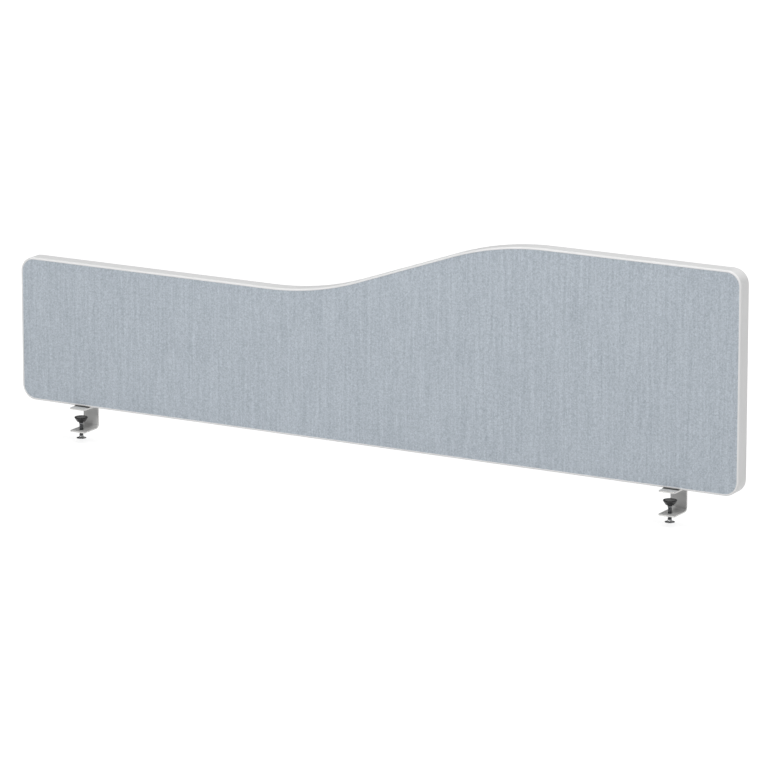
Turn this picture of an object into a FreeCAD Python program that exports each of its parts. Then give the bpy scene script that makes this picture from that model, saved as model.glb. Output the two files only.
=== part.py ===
import FreeCAD, Part
import os
from math import acos, atan2, cos, hypot, pi, radians, sin, sqrt

# Desk privacy panel: a padded, fabric-covered board with a wave-shaped top edge, carried on the
# back edge of a desk by two C clamps. Millimetres.
#
# Frame: X runs along the panel, -X to the left of the person at the desk. +Y points away from
# that person, across the desk's back edge. +Z is up. The origin is at mid-length, on the desk's
# back edge (the inner faces of the clamp spines) and at the desk's top surface (the undersides
# of the upper clamp flanges).

V = FreeCAD.Vector

# ---- driving dimensions -------------------------------------------------------------------
# panel
LENGTH = 1600.0
HEIGHT_LOW = 291.5
HEIGHT_HIGH = 433.0
WAVE_START = -225.5         # x where the low top edge begins to rise
WAVE_END = 386.5            # x where it reaches the high top edge
WAVE_RADIUS = 612.0         # both arcs of the wave
CORNER_RADIUS = 30.0
CORE_THICK = 25.0
FOAM_THICK = 3.0
FABRIC_THICK = 1.0
FABRIC_TUCK = 0.3           # gap between the cloth's cut edge and the trim's head

# edge trim, a T section
TRIM_HEAD = 2.0             # thickness over the board's edge
TRIM_LIP = 4.0              # width of the lip on each face, head included
TRIM_LIP_THICK = 1.0
TRIM_ROUND = 3.2
TONGUE_DEPTH = 12.0         # from the trim's outer face
TONGUE_THICK = 2.4
BARB_THICK = 2.9
BARB_FROM = 8.0
BARB_WIDTH = 1.2
GROOVE_THICK = 3.0
GROOVE_DEPTH = 14.0
BUTT_GAP = 0.3              # where the two ends of the strip meet, under the panel

# clamps
CLAMP_FROM_END = 141.0      # clamp centre to the panel's end
STRIP_WIDTH = 35.0
STRIP_THICK = 3.0
JAW_HEIGHT = 43.0
JAW_DEPTH = 51.0
BEND_INNER = 7.0
STRIP_CORNER = 3.0
STRIP_EDGE = 0.5            # break on the strip's long edges
SPACER_THICK = 0.6
SPACER_FRONT = 3.0          # how far the rubber spacer shows in front of the panel

# bracket screws, M5 countersunk, and their inserts
FIX_SPACING = 18.0
FIX_R = 2.5
FIX_CLEAR_R = 2.75
FIX_HEAD_R = 5.0
FIX_HEAD_SINK = 0.15
FIX_LENGTH = 16.0
FIX_KEY = 3.0
FIX_KEY_DEPTH = 1.8
INSERT_R = 4.0
INSERT_LENGTH = 12.0
INSERT_FLANGE_R = 4.8
INSERT_FLANGE = 1.0
FIX_GAP = 0.05

# clamp screw, M8
SCREW_Y = -35.5
SCREW_R = 3.95
SCREW_HOLE_R = 4.0
NECK_R = 3.0
END_R = 3.5
SCREW_END = -60.1           # lower face of the screw
SCREW_KEY = 4.0
SCREW_KEY_DEPTH = 4.5

# pressure pad at the top of the screw
PAD_TOP = -16.2             # working face, with the screw as it stands
PAD_R = 13.5
PAD_HEIGHT = 12.3           # working face to the underside of the cup
BOSS_R = 4.5                # short sleeve round the neck, under the cone
BOSS_HEIGHT = 2.0
CONE_FOOT_R = 8.2           # narrow end of the cone
FACING_R = 10.5
FACING_THICK = 1.5
FACING_PROUD = 0.5
RUN_GAP = 0.05              # radial and axial clearance of what turns on what
COLLAR_R = 4.6
COLLAR_HEIGHT = 2.0
RING_R = 5.0
RING_THICK = 1.0
RING_GROOVE_R = 2.5
RING_OPENING = 3.4

# thumb disc at the bottom of the screw
HUB_TOP = -53.5
HUB_R = 4.3
HUB_STRAIGHT = 2.4
DISC_R = 9.75
DISC_BOTTOM = -60.3
DISC_RIM = 1.2

# ---- derived places ------------------------------------------------------------------------
PANEL_THICK = CORE_THICK + 2.0 * (FOAM_THICK + FABRIC_THICK + TRIM_LIP_THICK)
PANEL_BACK = STRIP_THICK                    # the trim is flush with the spine's outer face
PANEL_FRONT = PANEL_BACK - PANEL_THICK
PANEL_MID = (PANEL_FRONT + PANEL_BACK) / 2.0
PANEL_BOTTOM = STRIP_THICK + SPACER_THICK
SPACER_BACK = -BEND_INNER                   # the spacer lies on the flat of the strip alone
FABRIC_FRONT = PANEL_FRONT + TRIM_LIP_THICK
FABRIC_BACK = PANEL_BACK - TRIM_LIP_THICK
CORE_FRONT = PANEL_MID - CORE_THICK / 2.0
CORE_BACK = PANEL_MID + CORE_THICK / 2.0
CLAMP_X = LENGTH / 2.0 - CLAMP_FROM_END
CORE_BOTTOM = PANEL_BOTTOM + TRIM_HEAD
CUP_TOP = PAD_TOP - FACING_PROUD
CUP_BOTTOM = PAD_TOP - PAD_HEIGHT
COLLAR_TOP = CUP_BOTTOM - RUN_GAP
COLLAR_BOTTOM = COLLAR_TOP - COLLAR_HEIGHT
RECESS_FLOOR = CUP_TOP - (FACING_THICK - FACING_PROUD)
RING_SEAT = CUP_TOP - 6.0
NECK_TOP = RING_SEAT + 2.6
SIDES = {"left": -CLAMP_X, "right": CLAMP_X}


# ---- helpers -------------------------------------------------------------------------------
def line(a, b):
    """Straight edge between two points of the XZ plane."""
    return Part.LineSegment(V(a[0], 0, a[1]), V(b[0], 0, b[1])).toShape()


def arc(centre, radius, start, end):
    """Arc of the XZ plane, angles in radians from +X towards +Z."""
    points = []
    for angle in (start, (start + end) / 2.0, end):
        points.append(V(centre[0] + radius * cos(angle), 0, centre[1] + radius * sin(angle)))
    return Part.Arc(*points).toShape()


def wave_slope():
    """Steepest angle of the wave: the tangent between its two equal arcs."""
    run = WAVE_END - WAVE_START
    fall = 2.0 * WAVE_RADIUS - (HEIGHT_HIGH - HEIGHT_LOW)
    return atan2(run, fall) - acos(2.0 * WAVE_RADIUS / hypot(run, fall))


def outline(inset):
    """Closed outline of the panel in the XZ plane, moved inwards by inset."""
    left = -LENGTH / 2.0 + inset
    right = LENGTH / 2.0 - inset
    bottom = PANEL_BOTTOM + inset
    low = PANEL_BOTTOM + HEIGHT_LOW - inset
    high = PANEL_BOTTOM + HEIGHT_HIGH - inset
    r = CORNER_RADIUS - inset
    slope = wave_slope()
    hollow = (WAVE_START, PANEL_BOTTOM + HEIGHT_LOW + WAVE_RADIUS)
    crown = (WAVE_END, PANEL_BOTTOM + HEIGHT_HIGH - WAVE_RADIUS)
    r_hollow = WAVE_RADIUS + inset
    r_crown = WAVE_RADIUS - inset
    rise_from = (hollow[0] + r_hollow * sin(slope), hollow[1] - r_hollow * cos(slope))
    rise_to = (crown[0] - r_crown * sin(slope), crown[1] + r_crown * cos(slope))
    edges = [
        line((left + r, bottom), (right - r, bottom)),
        arc((right - r, bottom + r), r, -pi / 2.0, 0.0),
        line((right, bottom + r), (right, high - r)),
        arc((right - r, high - r), r, 0.0, pi / 2.0),
        line((right - r, high), (WAVE_END, high)),
        arc(crown, r_crown, pi / 2.0, pi / 2.0 + slope),
        line(rise_to, rise_from),
        arc(hollow, r_hollow, slope - pi / 2.0, -pi / 2.0),
        line((WAVE_START, low), (left + r, low)),
        arc((left + r, low - r), r, pi / 2.0, pi),
        line((left, low - r), (left, bottom + r)),
        arc((left + r, bottom + r), r, pi, 1.5 * pi),
    ]
    return Part.Wire(edges)


def slab(inset, y_from, y_to):
    """Plate with the panel's outline, between two values of y."""
    face = Part.Face(outline(inset))
    face.translate(V(0, y_from, 0))
    return face.extrude(V(0, y_to - y_from, 0))


def frame_ring(outer, inner, y_from, y_to):
    """Band that follows the panel's outline, from one inset to another."""
    return slab(outer, y_from, y_to).cut(slab(inner, y_from - 1.0, y_to + 1.0))


def box(x_from, x_to, y_from, y_to, z_from, z_to):
    size = (x_to - x_from, y_to - y_from, z_to - z_from)
    return Part.makeBox(*size, V(x_from, y_from, z_from))


def rod(x, y, z_from, z_to, radius):
    """Upright cylinder."""
    return Part.makeCylinder(radius, z_to - z_from, V(x, y, z_from), V(0, 0, 1))


def hexagon(x, y, z_from, z_to, flats):
    """Upright hexagonal bar, for key sockets."""
    points = []
    for corner in range(7):
        angle = radians(60.0 * corner)
        points.append(V(x + flats / sqrt(3.0) * cos(angle), y + flats / sqrt(3.0) * sin(angle), z_from))
    return Part.Face(Part.makePolygon(points)).extrude(V(0, 0, z_to - z_from))


def turned(profile, x):
    """Solid of revolution about the clamp screw's axis, from (radius, z) points."""
    points = [V(r, 0, z) for r, z in profile]
    face = Part.Face(Part.makePolygon(points + points[:1]))
    solid = face.revolve(V(0, 0, 0), V(0, 0, 1), 360)
    solid.translate(V(x, SCREW_Y, 0))
    return solid


def along(shape, direction, test):
    """Straight edges of a shape that run in one direction and pass a test on their middle."""
    chosen = []
    for edge in shape.Edges:
        if edge.Curve.TypeId != "Part::GeomLine":
            continue
        tangent = edge.tangentAt(edge.FirstParameter)
        middle = edge.CenterOfMass
        if abs(abs(tangent.dot(direction)) - 1.0) < 1e-6 and test(middle):
            chosen.append(edge)
    return chosen


def fixing_places(x):
    """The two bracket screws of a clamp, under the middle of the panel's thickness."""
    return [(x - FIX_SPACING / 2.0, PANEL_MID), (x + FIX_SPACING / 2.0, PANEL_MID)]


def all_fixings():
    return fixing_places(-CLAMP_X) + fixing_places(CLAMP_X)


# ---- panel ---------------------------------------------------------------------------------
def core_board():
    """Chipboard core with a groove round its edge and pockets for the inserts."""
    board = slab(TRIM_HEAD, CORE_FRONT, CORE_BACK)
    half = GROOVE_THICK / 2.0
    board = board.cut(frame_ring(TRIM_HEAD - 1.0, GROOVE_DEPTH, PANEL_MID - half, PANEL_MID + half))
    for x, y in all_fixings():
        board = board.cut(rod(x, y, CORE_BOTTOM - 1.0, CORE_BOTTOM + INSERT_LENGTH, INSERT_R))
        board = board.cut(rod(x, y, CORE_BOTTOM - 1.0, CORE_BOTTOM + INSERT_FLANGE, INSERT_FLANGE_R))
        pocket = rod(x, y, CORE_BOTTOM, CORE_BOTTOM + FIX_LENGTH, FIX_R)
        board = board.cut(pocket)
    return board


def skin(y_from, y_to):
    """One flat layer on a face of the board."""
    return slab(TRIM_HEAD + FABRIC_TUCK, y_from, y_to)


def edge_trim():
    """T-section strip round the board: head, two lips over the cloth, barbed tongue."""
    strip = slab(0.0, PANEL_FRONT, PANEL_BACK)
    rims = []
    for edge in strip.Edges:
        if abs(edge.CenterOfMass.y - PANEL_FRONT) < 1e-6 or abs(edge.CenterOfMass.y - PANEL_BACK) < 1e-6:
            rims.append(edge)
    strip = strip.makeFillet(TRIM_ROUND, rims)
    strip = strip.cut(slab(TRIM_HEAD, FABRIC_FRONT, FABRIC_BACK))
    strip = strip.cut(slab(TRIM_LIP, PANEL_FRONT - 1.0, PANEL_BACK + 1.0))
    half = TONGUE_THICK / 2.0
    tongue = frame_ring(TRIM_HEAD / 2.0, TONGUE_DEPTH, PANEL_MID - half, PANEL_MID + half)
    half = BARB_THICK / 2.0
    barb = frame_ring(BARB_FROM, BARB_FROM + BARB_WIDTH, PANEL_MID - half, PANEL_MID + half)
    strip = strip.fuse(tongue).fuse(barb)
    for x, y in all_fixings():
        strip = strip.cut(rod(x, y, PANEL_BOTTOM - 1.0, CORE_BOTTOM, FIX_CLEAR_R))
        strip = strip.cut(rod(x, y, CORE_BOTTOM, PANEL_BOTTOM + GROOVE_DEPTH, INSERT_FLANGE_R + 0.2))
    gap = BUTT_GAP / 2.0
    strip = strip.cut(box(-gap, gap, PANEL_FRONT - 1.0, PANEL_BACK + 1.0,
                          PANEL_BOTTOM - 1.0, PANEL_BOTTOM + GROOVE_DEPTH))
    return strip


def threaded_inserts(x):
    """Two flanged M5 inserts pressed into the board's lower edge."""
    solids = []
    for place in fixing_places(x):
        body = rod(*place, CORE_BOTTOM, CORE_BOTTOM + INSERT_LENGTH, INSERT_R)
        body = body.fuse(rod(*place, CORE_BOTTOM, CORE_BOTTOM + INSERT_FLANGE, INSERT_FLANGE_R))
        solids.append(body.cut(rod(*place, CORE_BOTTOM - 1.0, CORE_BOTTOM + FIX_LENGTH, FIX_R)))
    return Part.makeCompound(solids)


# ---- clamp ---------------------------------------------------------------------------------
def clamp_bracket(x):
    """Flat strip folded into a C, with the screw's hole and two countersunk holes."""
    half = STRIP_WIDTH / 2.0
    upright = V(0, 0, 1)
    lengthwise = V(1, 0, 0)
    outer = box(x - half, x + half, -JAW_DEPTH, STRIP_THICK, -JAW_HEIGHT - STRIP_THICK, STRIP_THICK)
    outer = outer.makeFillet(BEND_INNER + STRIP_THICK, along(outer, lengthwise, lambda p: p.y > 0))
    inner = box(x - half - 1, x + half + 1, -JAW_DEPTH - 10, 0, -JAW_HEIGHT, 0)
    inner = inner.makeFillet(BEND_INNER, along(inner, lengthwise, lambda p: p.y > -1))
    bracket = outer.cut(inner)
    bracket = bracket.makeFillet(STRIP_CORNER, along(bracket, upright, lambda p: p.y < 1 - JAW_DEPTH))
    rims = []
    for edge in bracket.Edges:
        middle = edge.CenterOfMass
        on_side = abs(abs(middle.x - x) - half) < 1e-6
        at_front = middle.y < STRIP_CORNER - JAW_DEPTH and abs(edge.tangentAt(edge.FirstParameter).z) < 0.5
        if on_side or at_front:
            rims.append(edge)
    bracket = bracket.makeFillet(STRIP_EDGE, rims)
    bracket = bracket.cut(rod(x, SCREW_Y, -JAW_HEIGHT - 10, 1 - JAW_HEIGHT, SCREW_HOLE_R))
    for place in fixing_places(x):
        bracket = bracket.cut(rod(*place, -1, STRIP_THICK + 1, FIX_CLEAR_R))
        bracket = bracket.cut(countersink(*place))
    return bracket


def countersink(x, y):
    """Ninety-degree cone for a screw head, open at the underside of the upper flange."""
    reach = FIX_HEAD_R + FIX_GAP + FIX_HEAD_SINK
    return Part.makeCone(reach, 0.0, reach, V(x, y, 0), V(0, 0, 1))


def spacer_pad(x):
    """Thin rubber pad between the bracket and the panel."""
    half = STRIP_WIDTH / 2.0
    pad = box(x - half, x + half, PANEL_FRONT - SPACER_FRONT, SPACER_BACK, STRIP_THICK, PANEL_BOTTOM)
    for place in fixing_places(x):
        pad = pad.cut(rod(*place, STRIP_THICK - 1, PANEL_BOTTOM + 1, FIX_CLEAR_R))
    return pad


def bracket_screws(x):
    """Two M5 countersunk screws with hexagon sockets, heads just below flush."""
    solids = []
    for place in fixing_places(x):
        base = FIX_HEAD_SINK
        head = Part.makeCone(FIX_HEAD_R, 0.0, FIX_HEAD_R, V(*place, base), V(0, 0, 1))
        shank = rod(*place, base, base + FIX_LENGTH, FIX_R - FIX_GAP)
        key = hexagon(*place, base - 1.0, base + FIX_KEY_DEPTH, FIX_KEY)
        solids.append(head.fuse(shank).cut(key))
    return Part.makeCompound(solids)


def clamp_screw(x):
    """M8 screw: neck and ring groove for the pad above, plain end and key socket below."""
    profile = [
        (0.0, SCREW_END), (END_R - 0.4, SCREW_END), (END_R, SCREW_END + 0.4), (END_R, HUB_TOP),
        (SCREW_R, HUB_TOP), (SCREW_R, COLLAR_BOTTOM), (NECK_R, COLLAR_BOTTOM),
        (NECK_R, RING_SEAT + RUN_GAP), (RING_GROOVE_R, RING_SEAT + RUN_GAP),
        (RING_GROOVE_R, RING_SEAT + RUN_GAP + RING_THICK), (NECK_R, RING_SEAT + RUN_GAP + RING_THICK),
        (NECK_R, NECK_TOP - 0.5), (NECK_R - 0.5, NECK_TOP), (0.0, NECK_TOP),
    ]
    key = hexagon(x, SCREW_Y, SCREW_END - 1.0, SCREW_END + SCREW_KEY_DEPTH, SCREW_KEY)
    return turned(profile, x).cut(key)


def thrust_collar(x):
    """Plain ring on the screw's neck that carries the cup."""
    ring = rod(x, SCREW_Y, COLLAR_BOTTOM, COLLAR_TOP, COLLAR_R)
    ring = ring.makeChamfer(0.3, [e for e in ring.Edges if e.Curve.TypeId == "Part::GeomCircle"])
    return ring.cut(rod(x, SCREW_Y, COLLAR_BOTTOM - 1, COLLAR_TOP + 1, NECK_R))


def snap_ring(x):
    """Open ring in the neck's groove that keeps the cup on the screw."""
    z = RING_SEAT + RUN_GAP
    ring = rod(x, SCREW_Y, z, z + RING_THICK, RING_R)
    ring = ring.cut(rod(x, SCREW_Y, z - 1, z + 2, RING_GROOVE_R))
    half = RING_OPENING / 2.0
    return ring.cut(box(x - half, x + half, SCREW_Y, SCREW_Y + 2 * RING_R, z - 1, z + 2))


def pressure_pad(x):
    """Conical cup, bored for the neck, hollow above for the ring, recessed for the facing."""
    bore = NECK_R + RUN_GAP
    profile = [
        (bore, CUP_BOTTOM), (BOSS_R - 0.3, CUP_BOTTOM), (BOSS_R, CUP_BOTTOM + 0.3),
        (BOSS_R, CUP_BOTTOM + BOSS_HEIGHT), (CONE_FOOT_R, CUP_BOTTOM + BOSS_HEIGHT + 0.3),
        (PAD_R - 0.3, CUP_TOP - 2.3), (PAD_R, CUP_TOP - 1.6), (PAD_R, CUP_TOP - 0.6),
        (PAD_R - 0.6, CUP_TOP), (FACING_R + RUN_GAP, CUP_TOP), (FACING_R + RUN_GAP, RECESS_FLOOR),
        (RING_R + 1.0, RECESS_FLOOR), (RING_R + 1.0, RING_SEAT), (bore, RING_SEAT),
    ]
    return turned(profile, x)


def pad_facing(x):
    """Rubber disc in the top of the cup, which touches the desk."""
    disc = rod(x, SCREW_Y, RECESS_FLOOR, PAD_TOP, FACING_R)
    top = [e for e in disc.Edges if e.Curve.TypeId == "Part::GeomCircle" and e.CenterOfMass.z > CUP_TOP]
    return disc.makeFillet(0.4, top)


def thumb_disc(x):
    """Disc with a flared hub, pressed on the screw's lower end."""
    rim_top = DISC_BOTTOM + DISC_RIM
    waist = HUB_TOP - HUB_STRAIGHT
    drop = waist - rim_top
    reach = DISC_R - 0.5 - HUB_R
    flare = []
    for step in range(1, 7):
        turn = radians(90.0 * step / 6.0)
        flare.append((HUB_R + reach * (1.0 - cos(turn)), waist - drop * sin(turn)))
    profile = [(END_R, HUB_TOP), (HUB_R - 0.4, HUB_TOP), (HUB_R, HUB_TOP - 0.4), (HUB_R, waist)]
    profile += flare
    profile += [(DISC_R, rim_top - 0.5), (DISC_R, DISC_BOTTOM + 0.4), (DISC_R - 0.4, DISC_BOTTOM),
                (END_R, DISC_BOTTOM)]
    return turned(profile, x)


# ---- assembly ------------------------------------------------------------------------------
def panel_nodes():
    return {
        "core_board": core_board(),
        "front_foam": skin(CORE_FRONT - FOAM_THICK, CORE_FRONT),
        "rear_foam": skin(CORE_BACK, CORE_BACK + FOAM_THICK),
        "front_fabric": skin(FABRIC_FRONT, CORE_FRONT - FOAM_THICK),
        "rear_fabric": skin(CORE_BACK + FOAM_THICK, FABRIC_BACK),
        "edge_trim": edge_trim(),
    }


CLAMP_PARTS = [threaded_inserts, clamp_bracket, spacer_pad, bracket_screws, clamp_screw,
               thrust_collar, snap_ring, pressure_pad, pad_facing, thumb_disc]


def clamp_nodes(side, x):
    return {side + "_" + make.__name__: make(x) for make in CLAMP_PARTS}


def main():
    os.makedirs("parts", exist_ok=True)
    nodes = panel_nodes()
    for side, x in SIDES.items():
        nodes.update(clamp_nodes(side, x))
    for name, shape in nodes.items():
        shape.exportStep("parts/" + name + ".step")
        print(name, "solids", len(shape.Solids), "valid", shape.isValid(), "mm3", round(shape.Volume, 1))


main()
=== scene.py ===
from math import acos, atan2, cos, hypot, pi, radians, sin, sqrt, tan

import bmesh
import bpy
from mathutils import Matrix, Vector, noise


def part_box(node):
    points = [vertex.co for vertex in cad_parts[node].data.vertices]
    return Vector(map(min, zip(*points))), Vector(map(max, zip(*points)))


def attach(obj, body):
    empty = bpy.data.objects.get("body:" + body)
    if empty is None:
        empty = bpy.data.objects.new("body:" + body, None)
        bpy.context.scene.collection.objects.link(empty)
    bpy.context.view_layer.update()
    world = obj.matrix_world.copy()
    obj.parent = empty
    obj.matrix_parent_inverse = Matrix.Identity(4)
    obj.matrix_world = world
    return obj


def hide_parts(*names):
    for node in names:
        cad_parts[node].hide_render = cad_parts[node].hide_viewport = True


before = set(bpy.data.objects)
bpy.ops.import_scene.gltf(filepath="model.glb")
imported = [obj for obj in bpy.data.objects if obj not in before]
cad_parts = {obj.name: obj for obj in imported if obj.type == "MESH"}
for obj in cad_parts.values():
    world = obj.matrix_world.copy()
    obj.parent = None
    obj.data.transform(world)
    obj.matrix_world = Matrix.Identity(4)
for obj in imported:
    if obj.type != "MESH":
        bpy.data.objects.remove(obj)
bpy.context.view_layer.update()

# Desk privacy panel: the looks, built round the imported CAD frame. Shapes are worked out in
# millimetres in the row frame, and new_piece() turns them into metres.

MM = 0.001


def node_box(node):
    """Lowest and highest corner of a CAD node, in millimetres."""
    low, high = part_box(node)
    return low / MM, high / MM


# ---- places read from the frame ------------------------------------------------------------
TRIM_LOW, TRIM_HIGH = node_box("edge_trim")
CORE_LOW, CORE_HIGH = node_box("core_board")
CLOTH_LOW, CLOTH_HIGH = node_box("front_fabric")
SPACER_LOW, SPACER_HIGH = node_box("left_spacer_pad")
BRACKET_LOW, BRACKET_HIGH = node_box("left_clamp_bracket")
SCREW_LOW, SCREW_HIGH = node_box("left_clamp_screw")
COLLAR_LOW, COLLAR_HIGH = node_box("left_thrust_collar")
CUP_LOW, CUP_HIGH = node_box("left_pressure_pad")
FACING_LOW, FACING_HIGH = node_box("left_pad_facing")
DISC_LOW, DISC_HIGH = node_box("left_thumb_disc")

LEFT, RIGHT = TRIM_LOW.x, TRIM_HIGH.x
BOTTOM, HIGH_TOP = TRIM_LOW.z, TRIM_HIGH.z
FRONT, BACK = TRIM_LOW.y, TRIM_HIGH.y
MIDDLE = (FRONT + BACK) / 2.0
CLAMP_X = -(BRACKET_LOW.x + BRACKET_HIGH.x) / 2.0
STRIP_HALF = (BRACKET_HIGH.x - BRACKET_LOW.x) / 2.0
SCREW_Y = (SCREW_LOW.y + SCREW_HIGH.y) / 2.0
SIDES = {"left": -CLAMP_X, "right": CLAMP_X}

# ---- dimensions that the CAD source drives ---------------------------------------------------
LOW_TOP = BOTTOM + 291.5
WAVE_START = -225.5
WAVE_END = 386.5
WAVE_RADIUS = 612.0
CORNER_RADIUS = 30.0
LIP_WIDTH = 4.0
LIP_THICK = 1.0
TRIM_HEAD = 2.0
TRIM_ROUND = 3.2
TONGUE_DEPTH = 12.0
TONGUE_HALF = 1.2
BARB_HALF = 1.45
BARB_FROM = 8.0
BARB_TO = 9.2
BUTT_GAP = 0.3
CLOTH_INSET = CLOTH_LOW.x - LEFT
FIX_SPACING = 18.0
FIX_CLEAR_R = 2.75
INSERT_CLEAR_R = 5.0
THREAD_PITCH = 1.25
THREAD_R = 3.95
NECK_R = 3.0
SCREW_END_R = 3.5
SHOULDER_R = 3.2            # plain end of the thread under the collar
SCREW_KEY = 4.0
SCREW_KEY_DEPTH = 4.5
RING_GROOVE_R = 2.5
CUP_BORE_R = 3.05
CUP_BOSS_R = 4.5
CUP_BOSS_HEIGHT = 2.0
CUP_FOOT_R = 8.2            # where the cone starts
CUP_RECESS_R = 10.55
CUP_RECESS_DEPTH = 1.0
RING_ROOM_R = 6.0           # room for the snap ring inside the cup
DISC_HUB_R = 4.3
DISC_HUB_STRAIGHT = 2.4
DISC_RIM_HEIGHT = 1.2

# ---- dimensions of the soft and fine detail --------------------------------------------------
CLOTH_THICK = 0.8
CLOTH_SHY = 0.01            # how far the cover's edge stays inside the CAD cloth's face
LAYER_GAP = 0.02            # space between the padding and what lies on either side of it
CLOTH_PUFF = 0.38           # how far the padding lifts the cloth inside the trim's lips
PUFF_REACH = 16.0
RIPPLE = 0.10               # slack unevenness of the stretched cloth
KNURLS = 48
KNURL_DEPTH = 0.28
SPACER_CORNER = 1.2
SPACER_EDGE = 0.3
WELD = 1e-4


# ---- meshes --------------------------------------------------------------------------------
def new_piece(name, points, faces):
    """A mesh object from points in millimetres, with coincident points welded."""
    mesh = bpy.data.meshes.new(name)
    mesh.from_pydata(points, [], faces)
    work = bmesh.new()
    work.from_mesh(mesh)
    bmesh.ops.remove_doubles(work, verts=work.verts, dist=WELD)
    bmesh.ops.dissolve_degenerate(work, edges=work.edges, dist=WELD)
    bmesh.ops.recalc_face_normals(work, faces=work.faces)
    bmesh.ops.scale(work, verts=work.verts, vec=(MM, MM, MM))
    work.to_mesh(mesh)
    work.free()
    piece = bpy.data.objects.new(name, mesh)
    bpy.context.scene.collection.objects.link(piece)
    return piece


def shade(piece, angle=35.0, even=True):
    """Smooth shading that breaks at sharp edges; even keeps large flat faces flat."""
    piece.data.shade_smooth()
    piece.data.set_sharp_from_angle(angle=radians(angle))
    if even:
        weighted = piece.modifiers.new("even_normals", "WEIGHTED_NORMAL")
        weighted.keep_sharp = True


def finish_piece(piece, body, material, node):
    """Gives a piece its material and its body, and hides the CAD node it stands for."""
    piece.data.materials.clear()
    piece.data.materials.append(material)
    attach(piece, body)
    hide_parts(node)


def smoothstep(value, low, high):
    """0 at the low value, 1 at the high one, with a soft start and end."""
    t = min(1.0, max(0.0, (value - low) / (high - low)))
    return t * t * (3.0 - 2.0 * t)


def rounded(corners, steps, share=0.49):
    """Closed polygon with rounded corners, from (x, y, radius) corners. No arc takes up more than a
    given share of a side."""
    result = []
    count = len(corners)
    for index, corner in enumerate(corners):
        here = Vector(corner[:2])
        before = Vector(corners[index - 1][:2]) - here
        after = Vector(corners[(index + 1) % count][:2]) - here
        opening = before.angle(after)
        if opening > radians(176.0):
            result.append(tuple(here))
            continue
        cut = min(corner[2] / tan(opening / 2.0), share * before.length, share * after.length)
        inward = (before.normalized() + after.normalized()).normalized()
        centre = here + inward * cut / cos(opening / 2.0)
        start = here + before.normalized() * cut - centre
        end = here + after.normalized() * cut - centre
        first = atan2(start.y, start.x)
        sweep = atan2(start.x * end.y - start.y * end.x, start.dot(end))
        for step in range(steps + 1):
            angle = first + sweep * step / steps
            result.append((centre.x + start.length * cos(angle), centre.y + start.length * sin(angle)))
    return result


# ---- the panel's outline ---------------------------------------------------------------------
def wave_slope():
    """Steepest angle of the wave: the tangent between its two equal arcs."""
    run = WAVE_END - WAVE_START
    fall = 2.0 * WAVE_RADIUS - (HIGH_TOP - LOW_TOP)
    return atan2(run, fall) - acos(2.0 * WAVE_RADIUS / hypot(run, fall))


SLOPE = wave_slope()
RISE_FROM = WAVE_START + WAVE_RADIUS * sin(SLOPE)
RISE_TO = WAVE_END - WAVE_RADIUS * sin(SLOPE)


def top_station(x):
    """Point of the top edge at x, with its inward normal, as (x, z, normal x, normal z)."""
    if x <= WAVE_START:
        return (x, LOW_TOP, 0.0, -1.0)
    if x < RISE_FROM:
        turn = (x - WAVE_START) / WAVE_RADIUS
        down = sqrt(1.0 - turn * turn)
        return (x, LOW_TOP + WAVE_RADIUS * (1.0 - down), turn, -down)
    if x <= RISE_TO:
        level = LOW_TOP + WAVE_RADIUS * (1.0 - cos(SLOPE)) + (x - RISE_FROM) * tan(SLOPE)
        return (x, level, sin(SLOPE), -cos(SLOPE))
    if x < WAVE_END:
        turn = (WAVE_END - x) / WAVE_RADIUS
        up = sqrt(1.0 - turn * turn)
        return (x, HIGH_TOP - WAVE_RADIUS * (1.0 - up), turn, -up)
    return (x, HIGH_TOP, 0.0, -1.0)


def corner_stations(x, z, start, end, steps):
    """Stations on a rounded corner about its centre, angles in degrees, both ends included."""
    result = []
    for step in range(steps + 1):
        angle = radians(start + (end - start) * step / steps)
        out_x, out_z = cos(angle), sin(angle)
        result.append((x + CORNER_RADIUS * out_x, z + CORNER_RADIUS * out_z, -out_x, -out_z))
    return result


def spread(start, end, count):
    """Evenly spaced values strictly between two ends."""
    return [start + (end - start) * step / (count + 1) for step in range(1, count + 1)]


def panel_sides(along, upright, corner):
    """Four lists of stations, each from corner middle to corner middle, anticlockwise from the bottom."""
    left, right = LEFT + CORNER_RADIUS, RIGHT - CORNER_RADIUS
    bottom = BOTTOM + CORNER_RADIUS
    low, high = LOW_TOP - CORNER_RADIUS, HIGH_TOP - CORNER_RADIUS
    flat = spread(left, right, along)
    bottom_side = (corner_stations(left, bottom, 225, 270, corner)
                   + [(x, BOTTOM, 0.0, 1.0) for x in flat]
                   + corner_stations(right, bottom, 270, 315, corner))
    right_side = (corner_stations(right, bottom, 315, 360, corner)
                  + [(RIGHT, z, -1.0, 0.0) for z in spread(bottom, high, upright)]
                  + corner_stations(right, high, 0, 45, corner))
    top_side = (corner_stations(right, high, 45, 90, corner)
                + [top_station(x) for x in reversed(flat)]
                + corner_stations(left, low, 90, 135, corner))
    left_side = (corner_stations(left, low, 135, 180, corner)
                 + [(LEFT, z, 1.0, 0.0) for z in spread(low, bottom, upright)]
                 + corner_stations(left, bottom, 180, 225, corner))
    return bottom_side, right_side, top_side, left_side


def at_inset(station, inset):
    """The point (x, z) at a distance inward from a station."""
    x, z, normal_x, normal_z = station
    return (x + normal_x * inset, z + normal_z * inset)


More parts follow.
